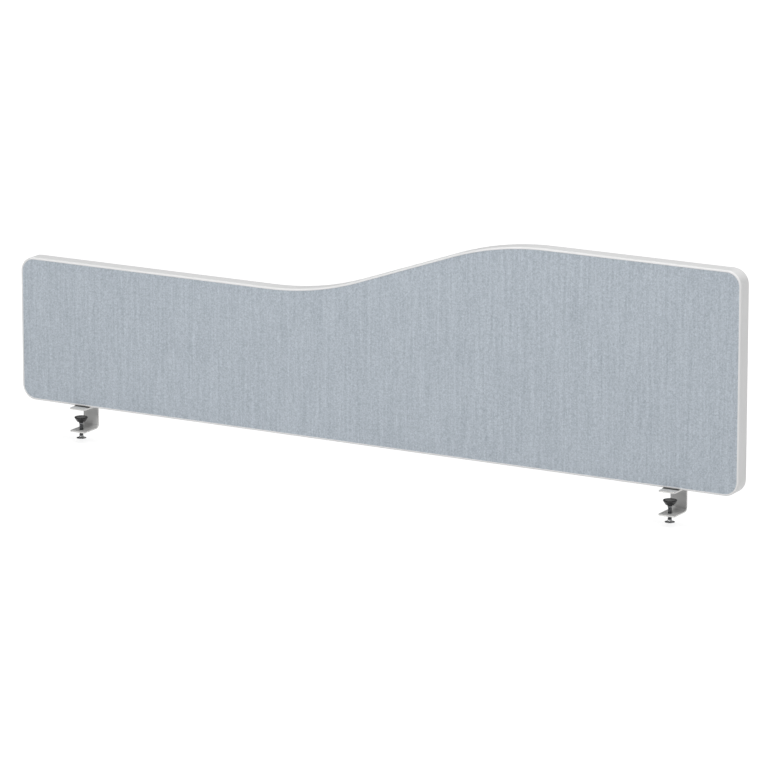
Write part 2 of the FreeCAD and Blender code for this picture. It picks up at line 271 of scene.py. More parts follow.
# ---- cloth and padding -----------------------------------------------------------------------
def face_height(inset, x, z):
    """How far the padded face stands out beyond its edge, at a distance from the outline."""
    lift = CLOTH_PUFF * smoothstep(inset, LIP_WIDTH - 0.2, LIP_WIDTH + PUFF_REACH)
    broad = noise.noise(Vector((x / 95.0, z / 60.0, 3.7)))
    narrow = noise.noise(Vector((x / 31.0, z / 47.0, 9.1)))
    slack = broad + 0.5 * narrow
    return lift + RIPPLE * slack * smoothstep(inset, 12.0, 60.0)


def share_along(side, axis, index):
    """How far along a side one of its points lies, as a share of the side's extent on an axis."""
    return (side[index][axis] - side[0][axis]) / (side[-1][axis] - side[0][axis])


def face_grid(insets, along, upright, corner):
    """Quads over one face of the panel: rings that follow the outline, then a mapped grid inside.
    Returns (x, z, inset) points, faces, and how many points the first ring has."""
    sides = panel_sides(along, upright, corner)
    loop = [station for side in sides for station in side[:-1]]
    count = len(loop)
    points, faces = [], []
    for inset in insets:
        points += [(*at_inset(station, inset), inset) for station in loop]
    for ring in range(len(insets) - 1):
        for index in range(count):
            following = (index + 1) % count
            faces.append((ring * count + index, ring * count + following,
                          (ring + 1) * count + following, (ring + 1) * count + index))
    last = insets[-1]
    bottom, right, top, left = [[at_inset(station, last) for station in side] for side in sides]
    top, left = top[::-1], left[::-1]
    columns, rows = len(bottom) - 1, len(left) - 1
    first = (len(insets) - 1) * count
    names = {}
    for index in range(count):
        if index < columns:
            names[(index, 0)] = first + index
        elif index < columns + rows:
            names[(columns, index - columns)] = first + index
        elif index < 2 * columns + rows:
            names[(2 * columns + rows - index, rows)] = first + index
        else:
            names[(0, count - index)] = first + index
    for row in range(1, rows):
        v_left = share_along(left, 1, row)
        v_right = share_along(right, 1, row)
        for column in range(1, columns):
            u = share_along(bottom, 0, column)
            v = (1 - u) * v_left + u * v_right
            place = []
            for axis in (0, 1):
                across = (1 - u) * left[row][axis] + u * right[row][axis]
                up = (1 - v) * bottom[column][axis] + v * top[column][axis]
                corners = ((1 - u) * (1 - v) * bottom[0][axis] + u * (1 - v) * bottom[-1][axis]
                           + (1 - u) * v * top[0][axis] + u * v * top[-1][axis])
                place.append(across + up - corners)
            names[(column, row)] = len(points)
            edge = min(place[0] - LEFT, RIGHT - place[0], place[1] - BOTTOM,
                       (top_station(place[0])[1] - place[1]) * cos(SLOPE))
            points.append((*place, max(last, edge)))
    for row in range(rows):
        for column in range(columns):
            faces.append((names[(column, row)], names[(column + 1, row)],
                          names[(column + 1, row + 1)], names[(column, row + 1)]))
    return points, faces, count


CLOTH_RINGS = [CLOTH_INSET, 2.9, 3.5, 3.9, 4.3, 4.9, 5.8, 7.2, 9.2, 12.0, 15.5, 19.5, 24.0]
CLOTH_GRID = dict(along=190, upright=44, corner=6)


def layer(name, side, outer, thickness, follow):
    """Closed layer on one face of the board. side is -1 at the front and 1 at the back; outer is the
    distance of its outer face from the panel's middle, at the edge; follow is 1 where the inner face
    keeps the outer one's shape and 0 where it is flat."""
    flat, quads, count = face_grid(CLOTH_RINGS, **CLOTH_GRID)
    points = []
    for depth, bend in ((0.0, 1.0), (thickness, follow)):
        for x, z, inset in flat:
            stand = outer - depth + bend * face_height(inset, x, z)
            points.append((x, MIDDLE + side * stand, z))
    total = len(flat)
    faces = list(quads)
    faces += [tuple(total + corner for corner in reversed(quad)) for quad in quads]
    for index in range(count):
        following = (index + 1) % count
        faces.append((following, index, total + index, total + following))
    return new_piece(name, points, faces)


# ---- edge trim -------------------------------------------------------------------------------
def trim_section():
    """Section of the T strip as (inset, distance from the panel's middle), anticlockwise."""
    half = (BACK - FRONT) / 2.0
    cloth = half - LIP_THICK
    side = [
        (TRIM_HEAD, TONGUE_HALF, 0.3), (TRIM_HEAD, cloth, 0.15), (LIP_WIDTH, cloth, 0.2),
        (LIP_WIDTH, half, 0.45), (0.0, half, TRIM_ROUND),
    ]
    tongue = [
        (TONGUE_DEPTH, 0.45 * TONGUE_HALF, 0.25), (TONGUE_DEPTH - 1.4, TONGUE_HALF, 0.2),
        (BARB_TO + 0.4, TONGUE_HALF, 0.1), (BARB_TO - 0.1, BARB_HALF, 0.1), (BARB_FROM, BARB_HALF, 0.1),
        (BARB_FROM, TONGUE_HALF, 0.1),
    ]
    upper = tongue + side
    lower = [(inset, -height, radius) for inset, height, radius in reversed(upper)]
    return rounded(upper + lower, 6, share=0.85)


def trim_stations():
    """Stations round the whole outline from one end of the strip to the other, both at the foot."""
    bottom, right, top, left = panel_sides(along=76, upright=14, corner=10)
    start = [station for station in bottom if station[0] > 0.0]
    finish = [station for station in bottom if station[0] < 0.0]
    gap = BUTT_GAP / 2.0
    return ([(gap, BOTTOM, 0.0, 1.0)] + start + right[1:] + top[1:] + left[1:] + finish[1:]
            + [(-gap, BOTTOM, 0.0, 1.0)])


def edge_trim():
    """The strip: its section carried along the stations, capped, and drilled for the bracket screws."""
    section = trim_section()
    stations = trim_stations()
    points, faces = [], []
    for station in stations:
        for inset, height in section:
            x, z = at_inset(station, inset)
            points.append((x, MIDDLE + height, z))
    width = len(section)
    for index in range(len(stations) - 1):
        for k in range(width):
            following = (k + 1) % width
            faces.append((index * width + k, index * width + following,
                          (index + 1) * width + following, (index + 1) * width + k))
    faces.append(tuple(range(width)))
    faces.append(tuple((len(stations) - 1) * width + k for k in reversed(range(width))))
    trim = new_piece("edge_trim_strip", points, faces)
    for x in SIDES.values():
        for fix_x in (x - FIX_SPACING / 2.0, x + FIX_SPACING / 2.0):
            drill(trim, fix_x, MIDDLE, [(FIX_CLEAR_R, BOTTOM - 3.0), (FIX_CLEAR_R, CORE_LOW.z),
                                        (INSERT_CLEAR_R, CORE_LOW.z), (INSERT_CLEAR_R, CORE_LOW.z + 15.0)])
    shade(trim)
    return trim


def drill(piece, x, y, steps):
    """Cuts a stepped upright hole, from (radius, z) steps, into a piece."""
    profile = [(0.0, steps[0][1])] + steps + [(0.0, steps[-1][1])]
    points, faces = turned(profile, x, y, 48)
    cutter = new_piece("cutter", points, faces)
    cut = piece.modifiers.new("drill", "BOOLEAN")
    cut.operation = "DIFFERENCE"
    cut.solver = "EXACT"
    cut.object = cutter
    apply_modifiers(piece)
    bpy.data.objects.remove(cutter)


def apply_modifiers(piece):
    """Replaces a piece's mesh by what its modifiers make of it."""
    bpy.context.view_layer.update()
    result = bpy.data.meshes.new_from_object(piece.evaluated_get(bpy.context.evaluated_depsgraph_get()))
    piece.modifiers.clear()
    piece.data = result


# ---- turned pieces ---------------------------------------------------------------------------
def turned(profile, x, y, segments):
    """Points and faces of a turned solid from a closed loop of (radius, z). Either may be a
    function of the angle; a point on the axis closes the solid there."""
    points, faces = [], []
    width = len(profile)
    for step in range(segments + 1):
        angle = 2.0 * pi * step / segments
        for radius, z in profile:
            r = radius(angle) if callable(radius) else radius
            level = z(angle) if callable(z) else z
            points.append((x + r * cos(angle), y + r * sin(angle), level))
    for step in range(segments):
        for k in range(width):
            following = (k + 1) % width
            faces.append((step * width + k, (step + 1) * width + k,
                          (step + 1) * width + following, step * width + following))
    return points, faces


def hexagon(flats):
    """Radius of a hexagonal socket at each angle."""
    def radius(angle):
        return flats / 2.0 / cos((angle % (pi / 3.0)) - pi / 6.0)
    return radius


def thread_rows(low, high, crest, pitch, low_r, high_r):
    """Rows of a right-hand 60 degree thread between two levels, fading to a plain radius at its ends.
    The shape is (share of the pitch, share of the depth) once round a thread."""
    depth = 0.6134 * pitch
    shape = [(0.0, 1.0), (0.125, 1.0), (0.4375, 0.0), (0.6875, 0.0)]
    rows = []

    def row(turn, share):
        def level(angle):
            return min(high, max(low, low + pitch * (turn + angle / (2.0 * pi))))

        def radius(angle):
            z = level(angle)
            plain = low_r if z < (low + high) / 2.0 else high_r
            full = crest - depth * (1.0 - share)
            grown = smoothstep(min(z - low, high - z), 0.0, 0.7 * pitch)
            return plain + (full - plain) * grown
        return (radius, level)

    turns = int((high - low) / pitch) + 2
    for whole in range(-1, turns):
        for part, share in shape:
            rows.append(row(whole + part, share))
    return rows


def clamp_screw(x):
    """M8 screw with its thread, neck, ring groove and key socket."""
    end = SCREW_LOW.z
    shoulder = COLLAR_LOW.z
    hub = DISC_HIGH.z
    groove = node_box("left_snap_ring")
    top = SCREW_HIGH.z
    socket = hexagon(SCREW_KEY)
    profile = [(0.0, end + SCREW_KEY_DEPTH + 0.6), (socket, end + SCREW_KEY_DEPTH), (socket, end + 0.2),
               (lambda angle: socket(angle) + 0.2, end),
               (SCREW_END_R - 0.4, end), (SCREW_END_R - 0.1, end + 0.1), (SCREW_END_R, end + 0.4),
               (SCREW_END_R, hub)]
    profile += thread_rows(hub, shoulder, THREAD_R, THREAD_PITCH, SCREW_END_R, SHOULDER_R)
    profile += [(NECK_R, shoulder), (NECK_R, groove[0].z), (RING_GROOVE_R, groove[0].z),
                (RING_GROOVE_R, groove[1].z), (NECK_R, groove[1].z), (NECK_R, top - 0.5),
                (NECK_R - 0.15, top - 0.15), (NECK_R - 0.5, top), (0.0, top)]
    return turned(profile, x, SCREW_Y, 72)


def pressure_pad(x):
    """Conical cup with soft edges, bored for the neck and recessed for its facing."""
    low, high = CUP_LOW.z, CUP_HIGH.z
    outer = CUP_HIGH.x + CLAMP_X
    seat = node_box("left_snap_ring")[0].z - 0.05
    boss = low + CUP_BOSS_HEIGHT
    recess = high - CUP_RECESS_DEPTH
    profile = rounded([
        (CUP_BORE_R, low, 0.2), (CUP_BOSS_R, low, 0.4), (CUP_BOSS_R, boss, 0.3),
        (CUP_FOOT_R, boss + 0.3, 0.7), (outer - 0.3, high - 2.3, 0.8), (outer, high - 1.6, 0.5),
        (outer, high - 0.6, 0.5), (outer - 0.6, high, 0.5), (CUP_RECESS_R, high, 0.15),
        (CUP_RECESS_R, recess, 0.1), (RING_ROOM_R, recess, 0.3), (RING_ROOM_R, seat, 0.2),
        (CUP_BORE_R, seat, 0.2),
    ], 4)
    return turned(profile, x, SCREW_Y, 96)


def pad_facing(x):
    """Rubber disc with shallow grip rings moulded in its working face."""
    low, high = FACING_LOW.z, FACING_HIGH.z
    radius = FACING_HIGH.x + CLAMP_X
    profile = [(0.0, low), (radius, low), (radius, high - 0.45), (radius - 0.1, high - 0.15),
               (radius - 0.4, high)]
    for groove in (8.6, 6.8, 5.0, 3.2):
        profile += [(groove + 0.45, high), (groove + 0.2, high - 0.3), (groove - 0.2, high - 0.3),
                    (groove - 0.45, high)]
    profile.append((0.0, high))
    return turned(profile, x, SCREW_Y, 96)


def thumb_disc(x):
    """Disc with a flared hub and a finely scalloped rim."""
    low, high = DISC_LOW.z, DISC_HIGH.z
    reach = DISC_HIGH.x + CLAMP_X
    hub = DISC_HUB_R
    rim = low + DISC_RIM_HEIGHT
    waist = high - DISC_HUB_STRAIGHT

    def rim_radius(inset, share):
        """Radius of the scalloped rim at each angle, with a share of the scallops' depth."""
        def radius(angle):
            return reach - inset - share * KNURL_DEPTH * (0.5 - 0.5 * cos(KNURLS * angle))
        return radius

    profile = [(SCREW_END_R, high), (hub - 0.4, high), (hub - 0.12, high - 0.12), (hub, high - 0.4),
               (hub, waist)]
    for step in range(1, 11):
        turn = radians(9.0 * step)
        flare = hub + (reach - 0.6 - hub) * (1.0 - cos(turn))
        profile.append((flare, waist - (waist - rim) * sin(turn)))
    profile += [(rim_radius(0.15, 0.4), rim - 0.1), (rim_radius(0.0, 1.0), rim - 0.3),
                (rim_radius(0.0, 1.0), low + 0.3), (rim_radius(0.15, 0.4), low + 0.1),
                (rim_radius(0.45, 0.0), low), (SCREW_END_R, low)]
    return turned(profile, x, SCREW_Y, 288)


def thrust_collar(x):
    """Plain ring with soft outer edges."""
    low, high = COLLAR_LOW.z, COLLAR_HIGH.z
    radius = COLLAR_HIGH.x + CLAMP_X
    profile = rounded([
        (NECK_R, low, 0.1), (radius, low, 0.35), (radius, high, 0.35), (NECK_R, high, 0.1),
    ], 4)
    return turned(profile, x, SCREW_Y, 72)


# ---- rubber spacer ---------------------------------------------------------------------------
def spacer_pad(name, x):
    """Thin slab with rounded edges and two screw holes, made by filling a flat curve."""
    low, high = SPACER_LOW, SPACER_HIGH
    half = (high.x - low.x) / 2.0
    curve = bpy.data.curves.new(name + "_outline", "CURVE")
    curve.dimensions = "2D"
    curve.fill_mode = "BOTH"
    curve.extrude = (high.z - low.z) / 2.0 - SPACER_EDGE
    curve.bevel_depth = SPACER_EDGE
    curve.bevel_resolution = 3
    curve.offset = -SPACER_EDGE
    corners = ((-half, low.y), (half, low.y), (half, high.y), (-half, high.y))
    loops = [rounded([(*corner, SPACER_CORNER) for corner in corners], 6)]
    for fix_x in (-FIX_SPACING / 2.0, FIX_SPACING / 2.0):
        hole = []
        for step in range(36):
            angle = -2.0 * pi * step / 36
            hole.append((fix_x + FIX_CLEAR_R * cos(angle), MIDDLE + FIX_CLEAR_R * sin(angle)))
        loops.append(hole)
    for loop in loops:
        spline = curve.splines.new("POLY")
        spline.points.add(len(loop) - 1)
        for point, place in zip(spline.points, loop):
            point.co = (place[0], place[1], 0.0, 1.0)
        spline.use_cyclic_u = True
    shape = bpy.data.objects.new(name + "_shape", curve)
    bpy.context.scene.collection.objects.link(shape)
    bpy.context.view_layer.update()
    mesh = bpy.data.meshes.new_from_object(shape.evaluated_get(bpy.context.evaluated_depsgraph_get()))
    level = (low.z + high.z) / 2.0
    points = [(x + v.co.x, v.co.y, level + v.co.z) for v in mesh.vertices]
    faces = [tuple(polygon.vertices) for polygon in mesh.polygons]
    bpy.data.objects.remove(shape)
    return new_piece(name, points, faces)


# ---- materials -------------------------------------------------------------------------------
def srgb(red, green, blue):
    """Linear colour from display values of 0 to 255."""
    result = []
    for value in (red, green, blue):
        share = value / 255.0
        result.append(share / 12.92 if share <= 0.04045 else ((share + 0.055) / 1.055) ** 2.4)
    return (*result, 1.0)


class Surface:
    """A material with a Principled shader, and short calls that add and link nodes."""

    def __init__(self, name, roughness=0.5, metallic=0.0, specular=0.5):
        self.material = bpy.data.materials.new(name)
        self.material.use_nodes = True
        self.tree = self.material.node_tree
        self.shader = self.tree.nodes["Principled BSDF"]
        self.put("Roughness", roughness)
        self.put("Metallic", metallic)
        self.put("Specular IOR Level", specular)
        self.place = self.add("ShaderNodeTexCoord").outputs["Object"]

    def put(self, socket, value):
        self.shader.inputs[socket].default_value = value

    def add(self, kind, **settings):
        node = self.tree.nodes.new(kind)
        for key, value in settings.items():
            setattr(node, key, value)
        return node

    def link(self, source, target):
        self.tree.links.new(source, target)

    def feed(self, socket, value):
        """Links an output to a socket, or sets a plain value on it."""
        if hasattr(value, "is_linked"):
            self.link(value, socket)
        else:
            socket.default_value = value

    def scaled(self, x, y, z):
        """Object coordinates in periods per millimetre along each axis."""
        node = self.add("ShaderNodeMapping")
        node.inputs["Scale"].default_value = (x / MM, y / MM, z / MM)
        self.link(self.place, node.inputs["Vector"])
        return node.outputs["Vector"]

    def axis(self, name, place=None):
        """One component of the object coordinates, in metres, or of another vector or colour."""
        node = self.add("ShaderNodeSeparateXYZ")
        self.link(place or self.place, node.inputs[0])
        return node.outputs[name]

    def math(self, operation, first, second=0.0):
        node = self.add("ShaderNodeMath", operation=operation)
        for socket, value in zip(node.inputs, (first, second)):
            self.feed(socket, value)
        return node.outputs[0]

    def noise(self, place, detail=2.0, roughness=0.5):
        node = self.add("ShaderNodeTexNoise")
        node.inputs["Scale"].default_value = 1.0
        node.inputs["Detail"].default_value = detail
        node.inputs["Roughness"].default_value = roughness
        self.link(place, node.inputs["Vector"])
        return node.outputs["Fac"]

    def cells(self, place, feature="F1", output="Distance"):
        node = self.add("ShaderNodeTexVoronoi", feature=feature)
        node.inputs["Scale"].default_value = 1.0
        self.link(place, node.inputs["Vector"])
        return node.outputs[output]

    def band(self, value, from_low, from_high, to_low=0.0, to_high=1.0):
        """Maps a value from one range to another, clamped."""
        node = self.add("ShaderNodeMapRange")
        for socket, number in zip(node.inputs[1:5], (from_low, from_high, to_low, to_high)):
            socket.default_value = number
        self.link(value, node.inputs[0])
        return node.outputs[0]

    def mix(self, share, first, second, blend="MIX"):
        """The first colour where the share is 0 and the second where it is 1."""
        node = self.add("ShaderNodeMix", data_type="RGBA", blend_type=blend)
        self.feed(node.inputs["Factor"], share)
        self.feed(node.inputs[6], first)
        self.feed(node.inputs[7], second)
        return node.outputs[2]

    def colour(self, value):
        self.link(value, self.shader.inputs["Base Color"])

    def rough(self, value):
        self.link(value, self.shader.inputs["Roughness"])

    def bump(self, height, depth, strength=1.0):
        """Relief of a given depth in millimetres, added over any earlier one."""
        node = self.add("ShaderNodeBump")
        node.inputs["Strength"].default_value = strength
        node.inputs["Distance"].default_value = depth * MM
        self.link(height, node.inputs["Height"])
        socket = self.shader.inputs["Normal"]
        if socket.is_linked:
            self.link(socket.links[0].from_socket, node.inputs["Normal"])
        self.link(node.outputs["Normal"], socket)


def woven_cloth():
    """Melange crepe: irregular plain weave, about 1 mm between yarns, in mixed greys. Four patterns
    make the tone: grain, long upright streaks, pebble and short level streaks."""
    s = Surface("woven_cloth", roughness=0.9, specular=0.2)
    s.put("Sheen Weight", 0.12)
    s.put("Sheen Roughness", 0.4)
    wander = s.noise(s.scaled(0.30, 0.30, 0.30), detail=1.0)
    shift = s.math("MULTIPLY", s.math("SUBTRACT", wander, 0.5), 1.6)
    u = s.math("ADD", s.math("MULTIPLY", s.axis("X"), 1.0 / (1.05 * MM)), shift)
    v = s.math("ADD", s.math("MULTIPLY", s.axis("Z"), 1.0 / (0.95 * MM)), shift)
    warp = s.math("ABSOLUTE", s.math("SINE", s.math("MULTIPLY", u, pi)))
    weft = s.math("ABSOLUTE", s.math("SINE", s.math("MULTIPLY", v, pi)))
    over = s.band(s.math("MULTIPLY", s.math("SINE", s.math("MULTIPLY", u, pi / 2.0)),
                         s.math("SINE", s.math("MULTIPLY", v, pi / 2.0))), -0.5, 0.5)
    height = s.math("ADD", s.math("MULTIPLY", warp, over),
                    s.math("MULTIPLY", weft, s.math("SUBTRACT", 1.0, over)))
    grain = s.noise(s.scaled(0.37, 0.37, 0.37), detail=1.0, roughness=0.5)
    pebble = s.noise(s.scaled(1.3, 1.3, 1.3), detail=1.0)
    streak = s.noise(s.scaled(0.30, 0.30, 0.011), detail=1.0)
    cross = s.noise(s.scaled(0.10, 0.10, 0.9), detail=1.0)
    tone = 0.0
    for pattern, weight in ((grain, 1.05), (streak, 0.50), (pebble, 0.65), (cross, 0.15)):
        tone = s.math("ADD", s.math("MULTIPLY", s.math("SUBTRACT", pattern, 0.5), weight), tone)
    share = s.band(tone, -0.6, 0.6)
    base = s.mix(share, srgb(144, 153, 162), srgb(210, 218, 226))
    # Painted shade: the low parts of the weave are darkened, as shade between the yarns.
    weave_valley_shade = s.band(height, 0.0, 0.45, 0.78, 1.0)
    s.colour(s.mix(1.0, base, weave_valley_shade, "MULTIPLY"))
    s.bump(height, 0.16, 0.8)
    s.bump(s.noise(s.scaled(3.2, 3.2, 3.2), detail=2.0), 0.05, 0.5)
    return s.material


def foam_sheet():
    """Grey open-cell foam, with painted shade darkening its pores."""
    s = Surface("foam_sheet", roughness=0.95, specular=0.15)
    cells = s.cells(s.scaled(1.6, 1.6, 1.6))
    # Painted shade: darker away from the cell centres, where the bump sinks into the pores.
    share = s.band(cells, 0.1, 0.7)
    s.colour(s.mix(share, srgb(160, 160, 156), srgb(92, 92, 90)))
    s.bump(s.math("SUBTRACT", 1.0, cells), 0.25)
    return s.material


def chipboard():
    """Flat wood chips of mixed browns, with darker glue lines between them."""
    s = Surface("chipboard", roughness=0.85, specular=0.2)
    wander = s.noise(s.scaled(0.2, 0.2, 0.2), detail=2.0)
    stretched = s.scaled(0.16, 1.3, 0.22)
    chips = s.cells(stretched, output="Color")
    edges = s.band(s.cells(stretched, feature="DISTANCE_TO_EDGE"), 0.0, 0.09)
    tint = s.math("ADD", s.math("MULTIPLY", s.axis("X", chips), 0.7), s.math("MULTIPLY", wander, 0.3))
    wood = s.mix(tint, srgb(150, 113, 70), srgb(214, 183, 134))
    s.colour(s.mix(edges, srgb(104, 76, 48), wood))
    s.bump(edges, 0.1, 0.6)
    return s.material


def trim_plastic():
    """Extruded light grey plastic: fine lines along the strip, faint clouding and handling marks."""
    s = Surface("trim_plastic", roughness=0.42, specular=0.45)
    lines = s.noise(s.scaled(0.0, 2.2, 0.0), detail=3.0, roughness=0.6)
    cloud = s.noise(s.scaled(0.012, 0.05, 0.012), detail=3.0)
    speck = s.noise(s.scaled(1.1, 1.1, 1.1), detail=2.0)
    rub = s.band(s.noise(s.scaled(0.02, 0.35, 0.02), detail=4.0, roughness=0.7), 0.60, 0.78)
    share = s.math("ADD", s.math("MULTIPLY", cloud, 0.6), s.math("MULTIPLY", speck, 0.4))
    base = s.mix(share, srgb(219, 219, 219), srgb(230, 230, 230))
    s.colour(s.mix(s.math("MULTIPLY", rub, 0.25), base, srgb(212, 211, 208)))
    s.rough(s.math("ADD", s.band(lines, 0.2, 0.8, 0.36, 0.48), s.math("MULTIPLY", rub, 0.15)))
    s.bump(lines, 0.02, 0.5)
    s.bump(speck, 0.02, 0.4)
    return s.material


def coated_steel():
    """Silver-grey powder coat with orange-peel relief, and bright metal along the strip's edges: partly
    wear, partly a painted highlight.
    """
    s = Surface("coated_steel", roughness=0.35, specular=0.5)
    peel = s.noise(s.scaled(0.9, 0.9, 0.9), detail=2.0, roughness=0.55)
    fleck = s.cells(s.scaled(3.5, 3.5, 3.5), output="Color")
    cloud = s.noise(s.scaled(0.05, 0.05, 0.05), detail=3.0)
    # Bright edges: partly worn bare metal, partly a painted highlight on the side and front edges.
    across = s.math("ABSOLUTE", s.math("SUBTRACT", s.math("ABSOLUTE", s.axis("X")), CLAMP_X * MM))
    side = s.band(across, (STRIP_HALF - 0.6) * MM, (STRIP_HALF - 0.2) * MM)
    front = s.band(s.axis("Y"), (BRACKET_LOW.y + 0.2) * MM, (BRACKET_LOW.y + 0.6) * MM, 1.0, 0.0)
    edge = s.math("MAXIMUM", side, front)
    nicks = s.band(s.noise(s.scaled(0.35, 0.35, 0.35), detail=5.0, roughness=0.75), 0.30, 0.55, 0.3, 0.8)
    wear_and_edge_highlight = s.math("MULTIPLY", edge, nicks)
    s.link(s.band(wear_and_edge_highlight, 0.0, 1.0, 0.1, 1.0), s.shader.inputs["Metallic"])
    share = s.math("ADD", s.math("MULTIPLY", s.axis("X", fleck), 0.35), s.math("MULTIPLY", cloud, 0.65))
    coat = s.mix(share, srgb(182, 182, 181), srgb(204, 204, 203))
    s.colour(s.mix(wear_and_edge_highlight, coat, srgb(214, 213, 210)))
    s.rough(s.math("SUBTRACT", s.band(peel, 0.3, 0.7, 0.32, 0.44), s.math("MULTIPLY", wear_and_edge_highlight, 0.12)))
    s.bump(peel, 0.035, 0.6)
    return s.material


def rubber(name, dark, light, ribs=0.0):
    """Matt moulded rubber with a dusty bloom; ribs is the spacing of its ribs, 0 for none."""
    s = Surface(name, roughness=0.75, specular=0.3)
    bloom = s.noise(s.scaled(0.12, 0.12, 0.12), detail=4.0, roughness=0.6)
    grain = s.noise(s.scaled(4.0, 4.0, 4.0), detail=2.0)
    s.colour(s.mix(s.band(bloom, 0.3, 0.75), dark, light))
    s.rough(s.band(grain, 0.3, 0.7, 0.68, 0.85))
    s.bump(grain, 0.03, 0.7)
    if ribs:
        s.bump(s.math("SINE", s.math("MULTIPLY", s.axis("Y"), 2.0 * pi / (ribs * MM))), 0.15, 0.6)
    return s.material


def moulded_plastic():
    """Black glass-filled plastic of the cups, with spark-eroded grain and polished high spots."""
    s = Surface("moulded_plastic", roughness=0.3, specular=0.42)
    grain = s.noise(s.scaled(2.4, 2.4, 2.4), detail=3.0, roughness=0.6)
    cloud = s.noise(s.scaled(0.15, 0.15, 0.15), detail=3.0)
    s.colour(s.mix(cloud, srgb(18, 18, 19), srgb(32, 32, 33)))
    s.rough(s.band(grain, 0.3, 0.7, 0.20, 0.32))
    s.bump(grain, 0.03, 0.7)
    return s.material


def turned_steel(name, dark, light, rough_low, rough_high):
    """Steel between two tones, with faint turning marks and rubbed patches."""
    s = Surface(name, metallic=1.0)
    turning = s.noise(s.scaled(0.15, 0.15, 5.0), detail=2.0)
    patch = s.noise(s.scaled(0.4, 0.4, 0.4), detail=4.0, roughness=0.65)
    s.colour(s.mix(s.band(patch, 0.3, 0.75), dark, light))
    s.rough(s.band(turning, 0.3, 0.7, rough_low, rough_high))
    s.bump(turning, 0.01, 0.5)
    return s.material


def zinc():
    """Bright zinc plating with a soft crystalline mottle."""
    s = Surface("zinc", metallic=1.0)
    spangle = s.cells(s.scaled(0.9, 0.9, 0.9), output="Color")
    haze = s.noise(s.scaled(0.5, 0.5, 0.5), detail=4.0)
    share = s.math("ADD", s.math("MULTIPLY", s.axis("X", spangle), 0.4), s.math("MULTIPLY", haze, 0.6))
    s.colour(s.mix(share, srgb(150, 152, 155), srgb(200, 202, 204)))
    s.rough(s.band(haze, 0.3, 0.7, 0.24, 0.38))
    s.bump(haze, 0.01, 0.5)
    return s.material


def brass():
    """Knurled brass of the inserts: crossed diagonal ridges round each one."""
    s = Surface("brass", metallic=1.0)
    haze = s.noise(s.scaled(0.6, 0.6, 0.6), detail=3.0)
    rise = s.math("MULTIPLY", s.axis("Z"), 1.0 / (0.45 * MM))
    run = s.math("MULTIPLY", s.math("ADD", s.axis("X"), s.axis("Y")), 1.0 / (0.45 * MM))
    ridge = s.math("MULTIPLY", s.math("SINE", s.math("ADD", rise, run)),
                   s.math("SINE", s.math("SUBTRACT", rise, run)))
    s.colour(s.mix(haze, srgb(172, 136, 70), srgb(214, 180, 104)))
    s.rough(s.band(haze, 0.3, 0.7, 0.26, 0.42))
    s.bump(ridge, 0.12, 0.7)
    return s.material


# ---- assembly --------------------------------------------------------------------------------
def dress(node, material):
    """Gives a CAD node that stays as it is its material."""
    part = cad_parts[node]
    part.data.materials.clear()
    part.data.materials.append(material)


def cloth_area():
    """Flat area of one cover: the strip heights under the top edge, less the rounded corners."""
    step = 0.5
    area = 0.0
    x = CLOTH_LOW.x + step / 2.0
    while x < CLOTH_HIGH.x:
        area += (top_station(x)[1] - BOTTOM - 2.0 * CLOTH_INSET) * step
        x += step
    radius = CORNER_RADIUS - CLOTH_INSET
    return (area - (4.0 - pi) * radius ** 2) * MM * MM


def build_panel():
    """The padding and cover of both faces, the trim strip, and the board's material."""
    cloth = woven_cloth()
    foam = foam_sheet()
    area = cloth_area()
    edge = MIDDLE - CLOTH_LOW.y
    padding_outer = edge - CLOTH_THICK - LAYER_GAP
    padding_inner = (CORE_HIGH.y - CORE_LOW.y) / 2.0 + LAYER_GAP
    for side, name in ((-1, "front"), (1, "rear")):
        padding = layer(name + "_padding", side, padding_outer, padding_outer - padding_inner, 0.0)
        shade(padding, 40.0, even=False)
        finish_piece(padding, "panel", foam, name + "_foam")
        cover = layer(name + "_cover", side, edge - CLOTH_SHY, CLOTH_THICK, 1.0)
        shade(cover, 40.0, even=False)
        finish_piece(cover, "panel", cloth, name + "_fabric")
    finish_piece(edge_trim(), "panel", trim_plastic(), "edge_trim")
    dress("core_board", chipboard())


